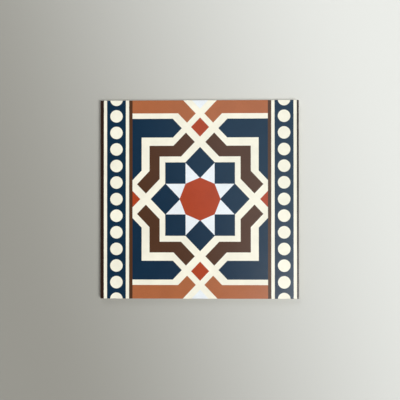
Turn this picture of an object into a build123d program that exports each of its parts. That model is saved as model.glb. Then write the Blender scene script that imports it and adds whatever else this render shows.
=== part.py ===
import os
from math import radians, tan

from build123d import *

# Driving dimensions, in millimetres and degrees
side = 200.0  # across the upright lands of the flanks, the size the tile is sold by
thickness = 8.0  # from the ribs on the back to the glazed face
corner_radius = 0.6  # rounding of the four corners, seen from above
arris_radius = 0.4  # rounded edge where the glaze rolls over from the face to the flank
land_height = 3.0  # upright part of the flank, where joint spacers bear
flank_draft = 4.0  # lean of the flank below the land, inwards to the back
back_bevel = 0.6  # height of the bevel round the back
bevel_angle = 45.0
rim_width = 9.0  # plain rim round the keying pattern
rib_width = 2.6  # flat top of the ribs between two recesses
recesses_per_row = 8
recess_depth = 0.7
recess_draft = 35.0  # slope of the recess walls, as the press punch leaves them
recess_corner_cut = 2.2  # clipped corners of the recesses, where two ribs cross

# The flank, from the top: rounded arris, upright land, lean and bevel
land_bottom = thickness - arris_radius - land_height
lean_height = land_bottom - back_bevel
flank_set_in = lean_height * tan(radians(flank_draft)) + back_bevel * tan(radians(bevel_angle))
back_side = side - 2 * flank_set_in

# The keying pattern fills the flat of the back inside its rim
recess_side = (back_side - 2 * rim_width - (recesses_per_row - 1) * rib_width) / recesses_per_row
recess_pitch = recess_side + rib_width

# The back lies on Z = 0 and the face looks up, with the origin under the middle of the tile
with BuildPart() as tile:
    # Body above the lean, up to the face
    with BuildSketch(Plane.XY.offset(land_bottom)) as land_outline:
        RectangleRounded(side, side, corner_radius)
    extrude(amount=thickness - land_bottom)

    # Lean of the flanks below the land, then the bevel down to the back
    extrude(land_outline.sketch, amount=-lean_height, taper=flank_draft)
    extrude(tile.faces().sort_by(Axis.Z)[0], amount=back_bevel, taper=bevel_angle)

    # Rounded arris round the face
    fillet(tile.edges().group_by(Axis.Z)[-1], radius=arris_radius)

    # Keying pattern: a waffle of shallow recesses with sloping walls, and ribs between them
    with BuildSketch(Plane.XY) as recesses:
        with GridLocations(recess_pitch, recess_pitch, recesses_per_row, recesses_per_row):
            Rectangle(recess_side, recess_side)
        chamfer(recesses.vertices(), length=recess_corner_cut)
    extrude(amount=recess_depth, taper=recess_draft, mode=Mode.SUBTRACT)

tile.part.label = "tile"

os.makedirs("parts", exist_ok=True)
export_step(tile.part, "parts/tile.step")
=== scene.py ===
from functools import reduce
from math import pi, radians, sin, sqrt, tan

import bpy
import numpy as np
from mathutils import Matrix, Vector


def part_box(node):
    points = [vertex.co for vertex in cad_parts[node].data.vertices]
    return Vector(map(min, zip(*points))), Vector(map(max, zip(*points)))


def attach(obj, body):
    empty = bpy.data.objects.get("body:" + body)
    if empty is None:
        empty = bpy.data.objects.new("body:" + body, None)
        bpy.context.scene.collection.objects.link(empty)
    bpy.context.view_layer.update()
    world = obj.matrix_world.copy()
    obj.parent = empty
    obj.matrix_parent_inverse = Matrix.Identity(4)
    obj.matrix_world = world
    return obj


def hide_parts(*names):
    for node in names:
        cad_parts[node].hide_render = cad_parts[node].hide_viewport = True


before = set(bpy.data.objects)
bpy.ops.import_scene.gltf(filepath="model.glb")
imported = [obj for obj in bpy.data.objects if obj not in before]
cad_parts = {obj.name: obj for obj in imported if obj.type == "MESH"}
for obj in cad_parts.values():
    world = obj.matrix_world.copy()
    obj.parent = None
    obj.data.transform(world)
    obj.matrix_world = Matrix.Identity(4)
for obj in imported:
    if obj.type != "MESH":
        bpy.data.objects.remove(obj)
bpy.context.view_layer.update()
tileLow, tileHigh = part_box("tile")
mm = 0.001
print("frame loaded, tile in mm:", [round(v / mm, 2) for v in tileHigh - tileLow])


# The tile's body, in mm: side and thickness come from the frame, the rest repeats the part's sizes
tileForm = {
    "side": (tileHigh.x - tileLow.x) / mm,
    "thickness": (tileHigh.z - tileLow.z) / mm,
    "cornerRadius": 0.6,
    "arrisRadius": 0.4,
    "arrisSteps": 8,
    "landHeight": 3.0,
    "flankDraft": 4.0,  # degrees
    "backBevel": 0.6,
    "rimWidth": 9.0,
    "rimLines": 5,  # grid lines over the plain rim
    "ribWidth": 2.6,
    "recessesPerRow": 8,
    "recessDepth": 0.7,
    "recessDraft": 35.0,  # degrees
    "recessCornerCut": 2.2,
    "recessSoftness": 0.16,  # rounding of the recess edges, as a share of their slope's width
    "recessSupport": 0.4,  # extra lines beside the slope, as a share of its width
    "edgeSupport": 0.12,  # distance of the extra rows that keep a bend of the flank tight
}
# Places on the bake's map: the face gets most of it
mapRooms = {
    "face": (0.008, 0.008, 0.768, 0.768),
    "back": (0.784, 0.008, 0.992, 0.768),
    "flank": (0.008, 0.784, 0.768, 0.992),
    "flankRows": (0.04, 0.96),  # part of its strip that each of the four flanks takes
}


def flankProfile(form):
    # Rows of the flank from the arris down to the back, as (set in from the outline, height)
    topOfLand = form["thickness"] - form["arrisRadius"]
    bottomOfLand = topOfLand - form["landHeight"]
    lean = (bottomOfLand - form["backBevel"]) * tan(radians(form["flankDraft"]))
    near = form["edgeSupport"]
    corners = [(0, topOfLand), (0, bottomOfLand), (lean, form["backBevel"]), (lean + form["backBevel"], 0)]
    rows = [corners[0]]
    for (inA, upA), (inB, upB) in zip(corners, corners[1:]):
        share = near / sqrt((inB - inA) ** 2 + (upB - upA) ** 2)
        for t in (share, 0.5, 1 - share, 1):
            rows.append((inA + t * (inB - inA), upA + t * (upB - upA)))
    return np.array(rows)


def recessPlan(form, backSide):
    # Centres of the recesses along one axis, and half the width of one
    count, rib = form["recessesPerRow"], form["ribWidth"]
    width = (backSide - 2 * form["rimWidth"] - (count - 1) * rib) / count
    centres = (np.arange(count) - (count - 1) / 2) * (width + rib)
    return centres, width / 2


def slopeWidth(form):  # of a recess's wall, seen from behind
    return form["recessDepth"] * tan(radians(form["recessDraft"]))


def gridLines(form, centres, halfWidth, straight):
    # Lines of the grid along one axis: bends of the recess walls, evened out over the rim
    beside = form["recessSupport"]
    slopeLines = np.array([-beside, 0, 0.5, 1, 1 + beside]) * slopeWidth(form)
    bends = halfWidth - np.concatenate([slopeLines, [form["recessCornerCut"], halfWidth]])
    inner = (centres[:, None] + np.concatenate([bends, -bends])).ravel()
    rim = np.linspace(abs(inner).max(), straight, form["rimLines"])
    middle = np.zeros(1)
    return np.unique(np.round(np.concatenate([inner, rim, -rim, middle]), 4))


def roundedSheet(lines, straight, radius, reach):
    # A square grid with rounded corners. Inside the straight part a point is simply (line, line). Each row
    # further out stands reach[row] of the corner radius beyond it, and round a corner the row turns through
    # an angle in proportion to the two row numbers.
    rows = np.arange(1, len(reach))
    place = np.concatenate([np.full(len(rows), -straight), lines, np.full(len(rows), straight)])
    row = np.concatenate([rows[::-1], np.zeros(len(lines), int), rows])
    outward = np.sign(place)
    rowX, rowY = row[:, None], row[None, :]
    outer, lesser = np.maximum(rowX, rowY), np.minimum(rowX, rowY)
    turn = pi / 4 * lesser / np.maximum(outer, 1)
    along, across = radius * reach[outer] * np.cos(turn), radius * reach[outer] * np.sin(turn)
    xFirst = rowX >= rowY
    x = place[:, None] + outward[:, None] * np.where(xFirst, along, across)
    y = place[None, :] + outward[None, :] * np.where(xFirst, across, along)
    return x, y, outer


def recessHeight(form, x, y, centres, halfWidth):
    # Depth of the keying pattern: distance inside the nearest recess outline, a square with clipped
    # corners, over the width of its sloping wall, held between 0 and 1 with soft bends
    offX = abs(x[..., None] - centres).min(-1)
    offY = abs(y[..., None] - centres).min(-1)
    clipped = (2 * halfWidth - form["recessCornerCut"] - offX - offY) / sqrt(2)
    inside = np.minimum(np.minimum(halfWidth - offX, halfWidth - offY), clipped) / slopeWidth(form)
    soft = form["recessSoftness"]
    held = (np.sqrt(inside ** 2 + soft ** 2) - np.sqrt((inside - 1) ** 2 + soft ** 2) + 1) / 2
    return form["recessDepth"] * held


def rimOrder(count):
    # Grid places round the edge of a count by count sheet, counter-clockwise from its lowest corner
    low, run, top = np.zeros(count - 1, int), np.arange(count - 1), np.full(count - 1, count - 1)
    i = np.concatenate([run, top, count - 1 - run, low])
    j = np.concatenate([low, run, top, count - 1 - run])
    return i, j


def sheetQuads(index, upward):
    # Four-cornered faces of a grid of vertex numbers
    quads = np.stack([index[:-1, :-1], index[1:, :-1], index[1:, 1:], index[:-1, 1:]], -1).reshape(-1, 4)
    return quads if upward else quads[:, ::-1]


def inRoom(room, u, v):
    # Sets shares from 0 to 1 into a room of the bake's map
    return np.stack([room[0] + u * (room[2] - room[0]), room[1] + v * (room[3] - room[1])], -1)


def tileMap(form, points, faceIndex, backIndex, rings):
    # The bake's map, a place for each corner of each face: plan views of the face and back, and the four
    # flanks laid out one above another, along their length and down their rows
    shareX, shareY = (points[:, axis] / mm / form["side"] + 0.5 for axis in (0, 1))
    faceMap = inRoom(mapRooms["face"], shareX, shareY)[sheetQuads(faceIndex, True)]
    backMap = inRoom(mapRooms["back"], 1 - shareX, shareY)[sheetQuads(backIndex, False)]
    perSide = len(faceIndex) - 1
    column = np.arange(rings.shape[1])
    side, step = column // perSide, column % perSide
    place = np.where(side % 2 == 0, shareX[rings[0]], shareY[rings[0]])
    nextPlace = np.where(step == perSide - 1, np.where(side < 2, 1.0, 0.0), np.roll(place, -1))
    place = np.where(step == 0, np.where(side < 2, 0.0, 1.0), place)
    down = np.linspace(*mapRooms["flankRows"], len(rings))
    corners = []
    for across, offset in ((place, 0), (place, 1), (nextPlace, 1), (nextPlace, 0)):
        rowShare = (side[None, :] + np.roll(down, -offset)[:-1, None]) / 4
        corners.append(inRoom(mapRooms["flank"], np.broadcast_to(across, rowShare.shape), rowShare))
    flankMap = np.stack(corners, 2).reshape(-1, 4, 2)
    return np.concatenate([faceMap, flankMap, backMap]).reshape(-1, 2)


def buildTile(form):
    radius = form["cornerRadius"]
    straight = form["side"] / 2 - radius
    profile = flankProfile(form)
    setIn = profile[-1, 0]
    centres, halfWidth = recessPlan(form, form["side"] - 2 * setIn)
    lines = gridLines(form, centres, halfWidth, straight)

    # Face: flat, with the arris as a quarter circle over its outermost rows
    angle = np.linspace(0, pi / 2, form["arrisSteps"] + 1)
    reach = np.concatenate([[0], 1 - form["arrisRadius"] * (1 - np.sin(angle)) / radius])
    drop = np.concatenate([[0], form["arrisRadius"] * (1 - np.cos(angle))])
    faceX, faceY, row = roundedSheet(lines, straight, radius, reach)
    faceZ = form["thickness"] - drop[row]

    # Back: the same grid with evenly spaced outer rows, pressed in by the keying pattern
    backReach = np.linspace(0, 1, len(reach))
    backX, backY, row = roundedSheet(lines, straight, radius - setIn, backReach)
    backZ = recessHeight(form, backX, backY, centres, halfWidth)

    # Flank: the outline set in row by row, between the two sheets
    count = len(faceX)
    i, j = rimOrder(count)
    evenReach = np.ones_like(reach)
    rows = []
    for inset, height in profile[1:-1]:
        ringX, ringY, row = roundedSheet(lines, straight, radius - inset, evenReach)
        rows.append(np.stack([ringX[i, j], ringY[i, j], np.full(len(i), height)], -1))

    sheets = [np.stack([faceX, faceY, faceZ], -1).reshape(-1, 3), np.concatenate(rows)]
    sheets.append(np.stack([backX, backY, backZ], -1).reshape(-1, 3))
    points = np.concatenate(sheets) * mm

    faceIndex = np.arange(count * count).reshape(count, count)
    ringIndex = count * count + np.arange(len(rows) * len(i)).reshape(len(rows), len(i))
    backIndex = faceIndex + count * count + ringIndex.size
    rings = np.concatenate([faceIndex[i, j][None], ringIndex, backIndex[i, j][None]])
    following = np.roll(rings, -1, axis=1)
    flank = np.stack([rings[:-1], rings[1:], following[1:], following[:-1]], -1).reshape(-1, 4)
    quads = np.concatenate([sheetQuads(faceIndex, True), flank, sheetQuads(backIndex, False)])
    bakeMap = tileMap(form, points, faceIndex, backIndex, rings)

    mesh = bpy.data.meshes.new("printedTile")
    mesh.from_pydata(points, [], quads)
    mesh.uv_layers.new(name="OFBake").uv.foreach_set("vector", bakeMap.ravel().astype(np.float32))
    mesh.shade_smooth()
    mesh.update()
    piece = bpy.data.objects.new("printedTile", mesh)
    bpy.context.scene.collection.objects.link(piece)
    print("tile mesh:", len(points), "points,", len(quads), "faces")
    return piece


# Arithmetic on node outputs, so that the print can be written as formulas
class Field:
    def __init__(self, tree, socket):
        self.tree = tree
        self.socket = socket

    def __add__(self, other):
        return work("ADD", self, other)

    def __sub__(self, other):
        return work("SUBTRACT", self, other)

    def __rsub__(self, other):
        return work("SUBTRACT", other, self)

    def __mul__(self, other):
        return work("MULTIPLY", self, other)

    def __neg__(self):
        return work("MULTIPLY", self, -1.0)

    def __abs__(self):
        return work("ABSOLUTE", self)


def feed(tree, slot, value):
    if isinstance(value, Field):
        tree.links.new(value.socket, slot)
    elif isinstance(value, bpy.types.NodeSocket):
        tree.links.new(value, slot)
    else:
        slot.default_value = value


def work(operation, *values, clamp=False):
    tree = next(v.tree for v in values if isinstance(v, Field))
    node = tree.nodes.new("ShaderNodeMath")
    node.operation = operation
    node.use_clamp = clamp
    for slot, value in zip(node.inputs, values):
        feed(tree, slot, value)
    return Field(tree, node.outputs[0])


def least(*fields):
    return reduce(lambda a, b: work("MINIMUM", a, b), fields)


def most(*fields):
    return reduce(lambda a, b: work("MAXIMUM", a, b), fields)


def between(value, start, end):  # negative where start < value < end
    return most(start - value, value - end)


def slant(value, line):  # distance past a line at 45 degrees
    return (value - line) * sqrt(0.5)


def fill(distance, blur):  # 1 inside a shape, 0 outside, with a soft edge as wide as blur
    return work("MULTIPLY_ADD", distance, -1 / blur, 0.5, clamp=True)


def swing(value, amount):  # 0 to 1 becomes minus amount to plus amount
    return (value - 0.5) * (2 * amount)


def spread(value, low, high):  # 0 to 1 becomes low to high
    return value * (high - low) + low


def ramp(value, start, end):  # 0 at start, 1 at end, smooth between
    tree = value.tree
    node = tree.nodes.new("ShaderNodeMapRange")
    node.interpolation_type = "SMOOTHSTEP"
    for name, entry in (("Value", value), ("From Min", start), ("From Max", end)):
        feed(tree, node.inputs[name], entry)
    return Field(tree, node.outputs["Result"])


def noise(tree, vector, pattern):  # pattern: cells per metre, detail, roughness
    node = tree.nodes.new("ShaderNodeTexNoise")
    for name, entry in zip(("Vector", "Scale", "Detail", "Roughness"), (vector, *pattern)):
        feed(tree, node.inputs[name], entry)
    return Field(tree, node.outputs["Fac"])


def mixColour(tree, amount, first, second, blend="MIX"):
    node = tree.nodes.new("ShaderNodeMix")
    node.data_type = "RGBA"
    node.blend_type = blend
    # The node's slots 6 and 7 and its output 2 are those for colours
    for slot, entry in ((node.inputs[0], amount), (node.inputs[6], first), (node.inputs[7], second)):
        feed(tree, slot, entry)
    return node.outputs[2]


def grey(value):  # a field as a colour
    node = value.tree.nodes.new("ShaderNodeCombineColor")
    for slot in node.inputs:
        feed(value.tree, slot, value)
    return node.outputs[0]


def paint(red, green, blue):  # screen colour, 0 to 255, as a linear colour by the sRGB curve
    part = np.array([red, green, blue]) / 255
    linear = np.where(part <= 0.04045, part / 12.92, ((part + 0.055) / 1.055) ** 2.4)
    return (*linear.tolist(), 1.0)


# The print on the face, in mm from its middle. The panel is drawn square and then stretched up the tile,
# and all of it is its own mirror image both ways.
facePrint = {
    "offset": (0.68, 0.28),  # where the printer set it on the tile
    "stretch": 1.053,
    "edgeBlur": 0.16,
    "edgeWander": 0.07,
    "inkSpread": 0.17,  # how far the inks other than lavender ran out in the kiln
    "squares": (14.8, 35.0),  # the four squares of the star, inner and outer side
    "diamondHalf": 14.7,  # half the diagonal of the star's diamonds, which sit at the squares' outer sides
    "octagonRadius": 20.55,
    "slants": (49.2, 60.25, 77.7, 86.55),  # lines at 45 degrees: strap, band, strap
    "levels": (40.95, 50.9, 59.15),  # level and upright lines: band, strap, dark field
    "fieldTop": 76.85,
    "crestBottom": 82.3,
    "crestInner": 77.5,  # its slanting side along the straps
    "knots": (8.95, 8.4),  # half the diagonal of the small diamonds: above and below the star, beside it
    "borderLines": (68.4, 71.5, 75.15, 93.85, 97.4),  # line, gap, dark band, gap, line to the tile's edge
    "discPlace": 84.5,
    "discRadius": 6.45,
    "discPitch": 16.74,
}
inks = {
    "cream": paint(244, 240, 221),
    "lavender": paint(234, 239, 242),
    "navy": paint(6, 40, 64),
    "brown": paint(79, 48, 28),
    "edgeBrown": paint(44, 23, 13),
    "terracotta": paint(170, 99, 60),
    "red": paint(170, 62, 25),
}


def printShapes(x, y):
    # Each ink's shape as a distance in mm, negative inside, from level distance p and stretched height q
    part = facePrint
    u, v = abs(x), abs(y)
    p, q = u, v * (1 / part["stretch"])
    outwards, upwards = p + q, q - p
    inner, outer = part["squares"]
    strapIn, strapOut, bandOut, crestOut = part["slants"]
    bandStart, bandEnd, fieldStart = part["levels"]
    panel, lineEnd, bandInner, bandOuter, edgeLine = part["borderLines"]
    farther = most(p, q)
    inPanel = u - panel

    # Star: four squares, four diamonds between them and an octagon in the middle
    squares = most(between(p, inner, outer), between(q, inner, outer))
    half = part["diamondHalf"]
    diamonds = least(slant(p + abs(q - outer), half), slant(q + abs(p - outer), half))
    rays = least(most(p - inner, q - outer), most(q - inner, p - outer))
    lean = tan(pi / 8)
    octagon = (most(p + q * lean, q + p * lean) - part["octagonRadius"]) * (1 / sqrt(1 + lean ** 2))

    # Band round the star, with a peak on each axis cut off where the straps cross
    outside = least(farther - bandEnd, slant(outwards, bandOut))
    inside = least(farther - bandStart, slant(outwards, strapOut))
    band = most(outside, -inside, slant(abs(upwards), strapIn))

    # Dark field in the four corners of the panel
    clear = least(farther - fieldStart, slant(outwards, crestOut))
    field = most(-clear, q - part["fieldTop"], slant(upwards, strapIn), inPanel)

    # Crest along the top and bottom edges, and the peak in its middle
    lower = least(part["crestBottom"] - q, -slant(upwards, strapOut))
    crest = most(lower, slant(upwards, part["crestInner"]), -slant(outwards, crestOut), inPanel)
    peak = -slant(upwards, crestOut)

    # Small diamonds where the straps cross
    centre = (strapOut + bandOut) / 2
    tall, wide = part["knots"]
    knots = least(slant(p + abs(q - centre), tall), most(slant(q + abs(p - centre), wide), inPanel))

    # Border: dark band with a row of discs, between two lines
    along = work("PINGPONG", v, part["discPitch"] / 2)
    aside = u - part["discPlace"]
    discs = work("SQRT", along * along + aside * aside) - part["discRadius"]
    border = most(between(u, bandInner, bandOuter), -discs)
    return {
        "lavender": least(most(rays, inPanel), most(peak, inPanel)),
        "navy": least(squares, diamonds, field, border),
        "terracotta": crest,
        "red": least(knots, octagon),
        "brown": least(band, between(u, panel, lineEnd)),
        "edgeBrown": edgeLine - u,
    }


# Glaze and body of the tile, with heights in mm up from the back and relief in mm
tileFinish = {
    "printFade": (7.35, 7.6),  # height where the print runs out over the arris
    "printWander": 2.0,  # how much more its end wanders than the inks' edges
    "glazeEnd": 5.5,  # height on the flank where the glaze stops
    "glazeEndBlur": 0.15,
    "glazeWander": 1.3,
    "glazeRoughness": (0.165, 0.2),
    "glazeIor": 1.5,
    "glazeTone": (0.95, 1.03),  # broad changes of strength over the whole face
    "inkGrain": 0.18,  # unevenness of the fine droplets that the inks were laid in
    "inkHeight": 0.02,
    "glazeRipple": 0.012,
    "body": paint(206, 197, 181),
    "bodyDark": paint(176, 164, 146),
    "bodyRoughness": (0.72, 0.9),
    "bodyGrain": 0.05,
    "cloudShare": 0.5,  # how strongly the dark body colour shows in clouds, and in specks
    "speckShare": 0.55,
    "kilnWash": paint(226, 222, 212),
    "washHeight": (0.35, 0.02),  # from none to the most, on what stood on the kiln's rollers
    "washShare": 0.75,
}
# Noise of that finish, as (cells per metre, detail, roughness), and the part of it that a ramp takes
finishNoise = {
    "inkEdge": (900, 1.0, 0.5),
    "droplets": (4200, 1.0, 0.5),
    "tone": (55, 3.0, 0.6),
    "glazeEdge": (60, 3.0, 0.5),
    "gloss": (130, 3.0, 0.6),
    "ripple": (300, 2.0, 0.5),
    "cloud": (38, 4.0, 0.6),
    "speck": (1500, 1.0, 0.5),
    "wash": (110, 4.0, 0.7),
    "bodyGrain": (1100, 3.0, 0.7),
}
noiseRamps = {"tone": (0.3, 0.7), "cloud": (0.35, 0.7), "speck": (0.62, 0.72), "wash": (0.38, 0.6)}


def objectPlace(tree):
    # Object coordinates as a vector and as three fields in mm
    place = tree.nodes.new("ShaderNodeTexCoord").outputs["Object"]
    parts = tree.nodes.new("ShaderNodeSeparateXYZ")
    tree.links.new(place, parts.inputs[0])
    return place, [Field(tree, out) * (1 / mm) for out in parts.outputs]


def newMaterial(name):
    material = bpy.data.materials.new(name)
    material.use_nodes = True
    tree = material.node_tree
    return material, tree, tree.nodes["Principled BSDF"]


def finishPattern(tree, place, name):
    pattern = noise(tree, place, finishNoise[name])
    return ramp(pattern, *noiseRamps[name]) if name in noiseRamps else pattern


def printColour(tree, place, shapes, wander):
    # Each ink laid over the one before, with edges that wander a little, and how far ink covers the glaze
    colour, covered = inks["cream"], None
    for name, shape in shapes.items():
        ranOut = 0.0 if name == "lavender" else facePrint["inkSpread"]
        mask = fill(shape + wander - ranOut, facePrint["edgeBlur"])
        colour = mixColour(tree, mask, colour, inks[name])
        covered = mask if covered is None else most(covered, mask)
    tone = spread(finishPattern(tree, place, "tone"), *tileFinish["glazeTone"])
    droplets = swing(finishPattern(tree, place, "droplets"), tileFinish["inkGrain"])
    return mixColour(tree, 1.0, colour, grey(tone + droplets * covered), "MULTIPLY"), covered


def bodyColour(tree, place, z):
    # Bare fired body: dark clouds and specks, and the kiln's pale wash on the lowest parts
    finish = tileFinish
    cloud = finishPattern(tree, place, "cloud") * finish["cloudShare"]
    speck = finishPattern(tree, place, "speck") * finish["speckShare"]
    washed = ramp(z, *finish["washHeight"]) * finishPattern(tree, place, "wash")
    body = mixColour(tree, cloud, finish["body"], finish["bodyDark"])
    body = mixColour(tree, speck, body, finish["bodyDark"])
    return mixColour(tree, washed * finish["washShare"], body, finish["kilnWash"])


def tileMaterial():
    finish = tileFinish
    material, tree, shader = newMaterial("printedPorcelain")
    place, (x, y, z) = objectPlace(tree)

    # The print, bare glaze below it, then the fired body below the glaze's ragged end
    offsetX, offsetY = facePrint["offset"]
    shapes = printShapes(x - offsetX, y - offsetY)
    wander = swing(finishPattern(tree, place, "inkEdge"), facePrint["edgeWander"])
    colour, covered = printColour(tree, place, shapes, wander)
    printed = ramp(z + wander * finish["printWander"], *finish["printFade"])
    colour = mixColour(tree, printed, inks["cream"], colour)
    ragged = z + swing(finishPattern(tree, place, "glazeEdge"), finish["glazeWander"])
    end, blur = finish["glazeEnd"], finish["glazeEndBlur"]
    glazed = ramp(ragged, end - blur, end + blur)
    bare = 1.0 - glazed
    tree.links.new(mixColour(tree, glazed, bodyColour(tree, place, z), colour), shader.inputs["Base Color"])

    # Gloss: satin glaze over a matt body
    gloss = finishPattern(tree, place, "gloss")
    glazeRough = spread(gloss, *finish["glazeRoughness"])
    bodyRough = spread(gloss, *finish["bodyRoughness"])
    rough = glazeRough * glazed + bodyRough * bare
    tree.links.new(rough.socket, shader.inputs["Roughness"])
    shader.inputs["IOR"].default_value = finish["glazeIor"]

    # Relief: ink lies proud of the glaze, the glaze ripples, and the body is grainy
    ripple = finishPattern(tree, place, "ripple") * finish["glazeRipple"]
    relief = (covered * printed * finish["inkHeight"] + ripple) * glazed
    height = relief + finishPattern(tree, place, "bodyGrain") * finish["bodyGrain"] * bare
    bump = tree.nodes.new("ShaderNodeBump")
    bump.inputs["Strength"].default_value = 1.0
    bump.inputs["Distance"].default_value = mm
    tree.links.new(height.socket, bump.inputs["Height"])
    tree.links.new(bump.outputs["Normal"], shader.inputs["Normal"])
    return material


printedTile = buildTile(tileForm)
printedTile.data.materials.append(tileMaterial())
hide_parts("tile")
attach(printedTile, "root")
print("tile finished")


# Pale backdrop all round, which the floor fades into far from the tile. It adds no light.
backdrop = {
    "colour": paint(208, 207, 201),
    "fade": (0.3, 1.1),  # metres from the tile
}


def lookedAlong(tree):
    # 1 on rays from the camera and in what gloss and glass show, 0 on rays that only carry light
    path = tree.nodes.new("ShaderNodeLightPath")
    names = ("Is Camera Ray", "Is Glossy Ray", "Is Transmission Ray")
    return most(*(Field(tree, path.outputs[name]) for name in names))


# Pale floor with painted light: its colour is a painted gradient, lighter towards the key light and darker
# away from it
floorLook = {
    "reach": 9.0,  # metres from the tile to each side
    "lines": 3,  # grid lines each way
    # dim and bright are painted shade and painted light: the floor's colour away from the key and towards
    # it
    "dim": paint(148, 146, 138),
    "bright": paint(228, 229, 224),
    "paintedLightSpan": (-0.22, 0.25),  # metres along the slope of the light
    "slope": (0.95, 0.31),  # direction of that slope
    "roughness": 0.9,
}


def floorMaterial(look):
    material, tree, shader = newMaterial("paleFloor")
    place, (x, y, z) = objectPlace(tree)
    start, end = (v / mm for v in look["paintedLightSpan"])
    slopeX, slopeY = look["slope"]
    # Painted light: the floor's colour runs from the dim grey to the bright grey along the slope towards
    # the key, in place of the light's fall-off
    paintedLight = ramp(x * slopeX + y * slopeY, start, end)
    tree.links.new(mixColour(tree, paintedLight, look["dim"], look["bright"]), shader.inputs["Base Color"])
    shader.inputs["Roughness"].default_value = look["roughness"]

    # Far away, the backdrop's own brightness takes the floor's place
    start, end = (v / mm for v in backdrop["fade"])
    far = ramp(work("SQRT", x * x + y * y), start, end) * lookedAlong(tree)
    glow = tree.nodes.new("ShaderNodeEmission")
    glow.inputs["Color"].default_value = backdrop["colour"]
    joined = tree.nodes.new("ShaderNodeMixShader")
    for slot, entry in zip(joined.inputs, (far, shader.outputs[0], glow.outputs[0])):
        feed(tree, slot, entry)
    tree.links.new(joined.outputs[0], tree.nodes["Material Output"].inputs["Surface"])
    return material


def buildFloor(look):
    # A flat grid, level with the tile's back
    count = look["lines"]
    line = np.linspace(-look["reach"], look["reach"], count)
    x, y = np.meshgrid(line, line, indexing="ij")
    points = np.stack([x, y, np.full_like(x, tileLow.z)], -1).reshape(-1, 3)
    mesh = bpy.data.meshes.new("floor")
    mesh.from_pydata(points, [], sheetQuads(np.arange(count * count).reshape(count, count), True))
    mesh.materials.append(floorMaterial(look))
    floor = bpy.data.objects.new("floor", mesh)
    bpy.context.scene.collection.objects.link(floor)


buildFloor(floorLook)
print("floor laid")


# Soft studio light: a key box high over the right side, a dim panel overhead that veils the dark inks, a
# weak fill box behind the tile, and dim walls. Places and sizes in metres, power in watts.
studio = {
    "keyPlace": (1.42, -0.785, 4.2),
    "keySize": 1.5,
    "keyPower": 154.0,
    "panelPlace": (0.5, 0.3, 4.0),
    "panelSize": 1.3,
    "panelPower": 4.4,
    "panelColour": (0.72, 0.98, 1.12),  # cool, as daylight from a window
    "fillPlace": (-0.3, 0.85, 1.07),
    "fillSize": 0.6,
    "fillPower": 3.0,
    "walls": (0.36, 0.36, 0.36, 1.0),
    "ceiling": (0.02, 0.02, 0.02, 1.0),
    "ceilingEdge": (0.65, 0.92),  # height of the direction where the walls give way to the ceiling
}


def softBox(name, place, size, power, colour=(1.0, 1.0, 1.0)):
    lamp = bpy.data.lights.new(name, "AREA")
    lamp.color = colour
    lamp.shape = "SQUARE"
    lamp.size = size
    lamp.energy = power
    box = bpy.data.objects.new(name, lamp)
    box.location = place
    box.rotation_mode = "QUATERNION"
    box.rotation_quaternion = (-Vector(place)).to_track_quat("-Z", "Y")
    bpy.context.scene.collection.objects.link(box)


def surroundings(look):
    # The world's colour by height of the direction: walls low down, seen as the backdrop, and ceiling above
    world = bpy.data.worlds.new("surroundings")
    world.use_nodes = True
    tree = world.node_tree
    parts = tree.nodes.new("ShaderNodeSeparateXYZ")
    tree.links.new(tree.nodes.new("ShaderNodeTexCoord").outputs["Generated"], parts.inputs[0])
    overhead = ramp(Field(tree, parts.outputs["Z"]), *look["ceilingEdge"])
    walls = mixColour(tree, lookedAlong(tree), look["walls"], backdrop["colour"])
    room = mixColour(tree, overhead, walls, look["ceiling"])
    tree.links.new(room, tree.nodes["Background"].inputs["Color"])
    bpy.context.scene.world = world


softBox("keyBox", studio["keyPlace"], studio["keySize"], studio["keyPower"])
softBox("panel", studio["panelPlace"], studio["panelSize"], studio["panelPower"], studio["panelColour"])
softBox("fillBox", studio["fillPlace"], studio["fillSize"], studio["fillPower"])
surroundings(studio)
print("lights set")


# Camera: nearly straight down, from a little to the lower right
cameraView = {
    "lookAt": (0.00059, -0.00067, tileHigh.z),
    "lean": (1.65, -0.72),  # degrees off the upright, along x and y
    "roll": -0.03,  # degrees
    "distance": 0.9,
    "lens": 80.42,  # mm, as the sensor
    "sensor": 36.0,
}


def placeCamera(look):
    lens = bpy.data.cameras.new("camera")
    lens.lens = look["lens"]
    lens.sensor_width = look["sensor"]
    camera = bpy.data.objects.new("camera", lens)
    leanX, leanY = (sin(radians(a)) for a in look["lean"])
    back = Vector((leanX, leanY, sqrt(1 - leanX ** 2 - leanY ** 2)))
    camera.location = Vector(look["lookAt"]) + back * look["distance"]
    camera.rotation_mode = "QUATERNION"
    up = Vector((-sin(radians(look["roll"])), 1, 0))
    right = up.cross(back).normalized()
    turned = (right, back.cross(right), back)
    camera.rotation_quaternion = Matrix(turned).transposed().to_quaternion()
    bpy.context.scene.collection.objects.link(camera)
    bpy.context.scene.camera = camera


placeCamera(cameraView)
bpy.context.scene.view_settings.view_transform = "Standard"
print("camera placed")
